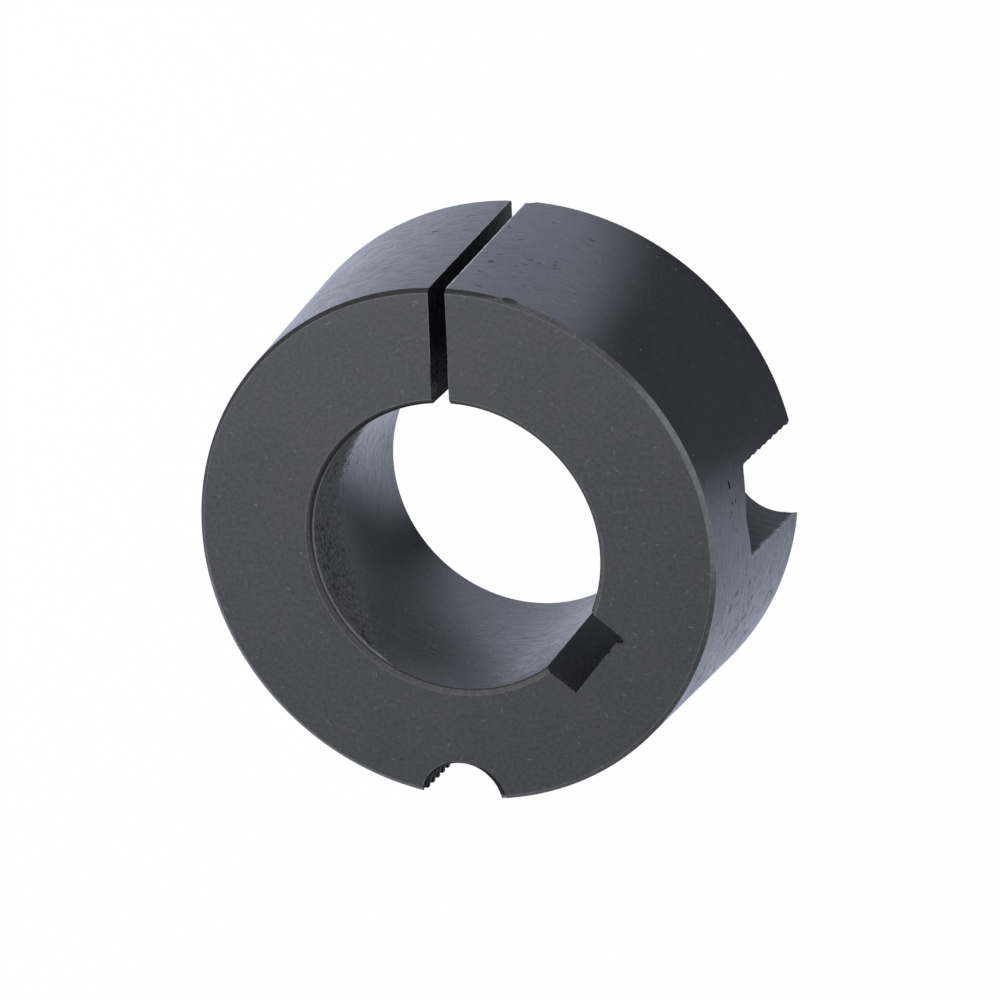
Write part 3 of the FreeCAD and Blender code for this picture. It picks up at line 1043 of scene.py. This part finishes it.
# Painted reflection, seen only in the bush: a bluish glow, duller on one side, crossed by a strip of
# painted shade and going dark from a set distance out
PAINTED_REFLECTION_COLOUR = (0.96, 1.02, 1.25, 1)
DULLER_PAINTED_REFLECTION_COLOUR = (0.78, 0.83, 1.02, 1)
DULL_SIDE = (-4.0 * MM, -14.0 * MM)
PAINTED_DARK_REFLECTION_COLOUR = (0.1, 0.1, 0.11, 1)
PAINTED_SHADE_STRIP_COLOUR = (0.2, 0.205, 0.265, 1)
STRIP_BEARING = radians(34.0)
STRIP_CENTRE = -0.2 * MM
STRIP_HALF_WIDTH = 6.2 * MM
STRIP_SPREAD = 0.18
STRIP_SOFTNESS = 12.0 * MM
STRIP_SOFTNESS_INSIDE = 6.5 * MM
PAINTED_DARK_REFLECTION_RADII = (70.0 * MM, 200.0 * MM)
SKY_STRENGTH = 0.5
BACKGROUND_SHARE = 0.985
LAMPS = {
    "soft_lamp_left": {"bearing": 190, "rise": 35, "distance": 0.7, "size": 0.35, "power": 1.2},
    "soft_lamp_above": {"bearing": 145, "rise": 65, "distance": 0.25, "size": 0.12, "power": 0.3},
}
CAMERA_LENS = 170.3
CAMERA_NEAR_LIMIT = 10.0 * MM
CAMERA_TILT = radians(27.002)
CAMERA_AZIMUTH = radians(137.912)
CAMERA_ROLL = radians(-136.872)
SMALL_FACE_FROM_CAMERA = Vector((-4.609, -4.850, -466.758)) * MM


def ray_kinds(tree):
    """One where the camera looks straight or through glass, and one for reflections."""
    rays = place(tree, "ShaderNodeLightPath").outputs
    seen = Measure(tree, rays["Is Camera Ray"])
    return seen.work("MAXIMUM", rays["Is Transmission Ray"]), Measure(tree, rays["Is Glossy Ray"])


tent = bpy.data.worlds.new("white_tent")
bpy.context.scene.world = tent
tent.use_nodes = True
tree = tent.node_tree
rising = axes(tree, place(tree, "ShaderNodeTexCoord").outputs["Generated"])[2]
wall = blend(tree, rising.ramp(0.0, HORIZON_RISE), HORIZON_COLOUR, SKY_COLOUR)
seen = ray_kinds(tree)[0]
light = tree.nodes["Background"]
connect(tree, light.inputs["Color"], blend(tree, seen, wall, WHITE))
connect(tree, light.inputs["Strength"], seen * (1 - SKY_STRENGTH) + SKY_STRENGTH)

# The floor glows almost white to the camera, keeping a faint shadow. The bush's reflections see a
# painted reflection on it instead: bluish, duller on one side of a strip of painted shade, and painted
# dark from a set distance out. From below the floor can't be seen, so that the large end shows.
white = bpy.data.materials.new("white_floor")
white.use_nodes = True
tree = white.node_tree
shader = tree.nodes["Principled BSDF"]
shader.inputs["Base Color"].default_value = FLOOR_COLOUR
shader.inputs["Roughness"].default_value = FLOOR_ROUGHNESS
seen, mirrored = ray_kinds(tree)
x, y = axes(tree, place(tree, "ShaderNodeTexCoord").outputs["Object"])[:2]
along_strip = x * cos(STRIP_BEARING) + y * sin(STRIP_BEARING)
sideways = y * cos(STRIP_BEARING) - x * sin(STRIP_BEARING) - STRIP_CENTRE
out = distance_out(x, y)
outside = out.ramp(bore_radius, large_radius)
from_strip = abs(sideways) - along_strip * STRIP_SPREAD * outside
start = outside * STRIP_HALF_WIDTH
softness = outside * (STRIP_SOFTNESS - STRIP_SOFTNESS_INSIDE) + STRIP_SOFTNESS_INSIDE
# Painted reflection: these colours reach only reflections; the camera sees the floor white
painted_reflection = blend(tree, sideways.ramp(*DULL_SIDE) * outside, PAINTED_REFLECTION_COLOUR, DULLER_PAINTED_REFLECTION_COLOUR)
painted_reflection = blend(tree, out.ramp(*PAINTED_DARK_REFLECTION_RADII), painted_reflection, PAINTED_DARK_REFLECTION_COLOUR)
painted_reflection = blend(tree, from_strip.ramp(start, start + softness), PAINTED_SHADE_STRIP_COLOUR, painted_reflection)
glow = place(tree, "ShaderNodeEmission", {"Color": blend(tree, mirrored, WHITE, painted_reflection)})
share = seen * BACKGROUND_SHARE + mirrored
mixed = place(tree, "ShaderNodeMixShader", [share, shader.outputs[0], glow.outputs[0]])
from_below = place(tree, "ShaderNodeNewGeometry").outputs["Backfacing"]
clear = place(tree, "ShaderNodeBsdfTransparent")
mixed = place(tree, "ShaderNodeMixShader", [from_below, mixed.outputs[0], clear.outputs[0]])
tree.links.new(mixed.outputs[0], tree.nodes["Material Output"].inputs["Surface"])

floor_mesh = bpy.data.meshes.new("floor")
side = FLOOR_SIDE / 2
floor_corners = [(-side, -side), (side, -side), (side, side), (-side, side)]
floor_mesh.from_pydata([(*corner, -FLOOR_GAP) for corner in floor_corners], [], [(0, 1, 2, 3)])
floor_mesh.materials.append(white)
floor = bpy.data.objects.new("floor", floor_mesh)
bpy.context.scene.collection.objects.link(floor)

for name, setting in LAMPS.items():
    lamp = bpy.data.lights.new(name, "AREA")
    lamp.energy = setting["power"]
    lamp.size = setting["size"]
    bearing, rise = radians(setting["bearing"]), radians(setting["rise"])
    direction = Vector((cos(bearing) * cos(rise), sin(bearing) * cos(rise), sin(rise)))
    holder = bpy.data.objects.new(name, lamp)
    holder.location = direction * setting["distance"]
    holder.rotation_euler = (-direction).to_track_quat("-Z", "Y").to_euler()
    bpy.context.scene.collection.objects.link(holder)

turn = Matrix.Rotation(CAMERA_AZIMUTH, 3, "Z") @ Matrix.Rotation(CAMERA_TILT, 3, "X")
turn = turn @ Matrix.Rotation(CAMERA_ROLL, 3, "Z")
stand = Vector((0, 0, length)) - turn @ SMALL_FACE_FROM_CAMERA
camera = bpy.data.objects.new("camera", bpy.data.cameras.new("camera"))
camera.data.lens = CAMERA_LENS
camera.data.clip_start = CAMERA_NEAR_LIMIT
camera.matrix_world = Matrix.Translation(stand) @ turn.to_4x4()
bpy.context.scene.collection.objects.link(camera)
bpy.context.scene.camera = camera
bpy.context.scene.view_settings.view_transform = "Standard"
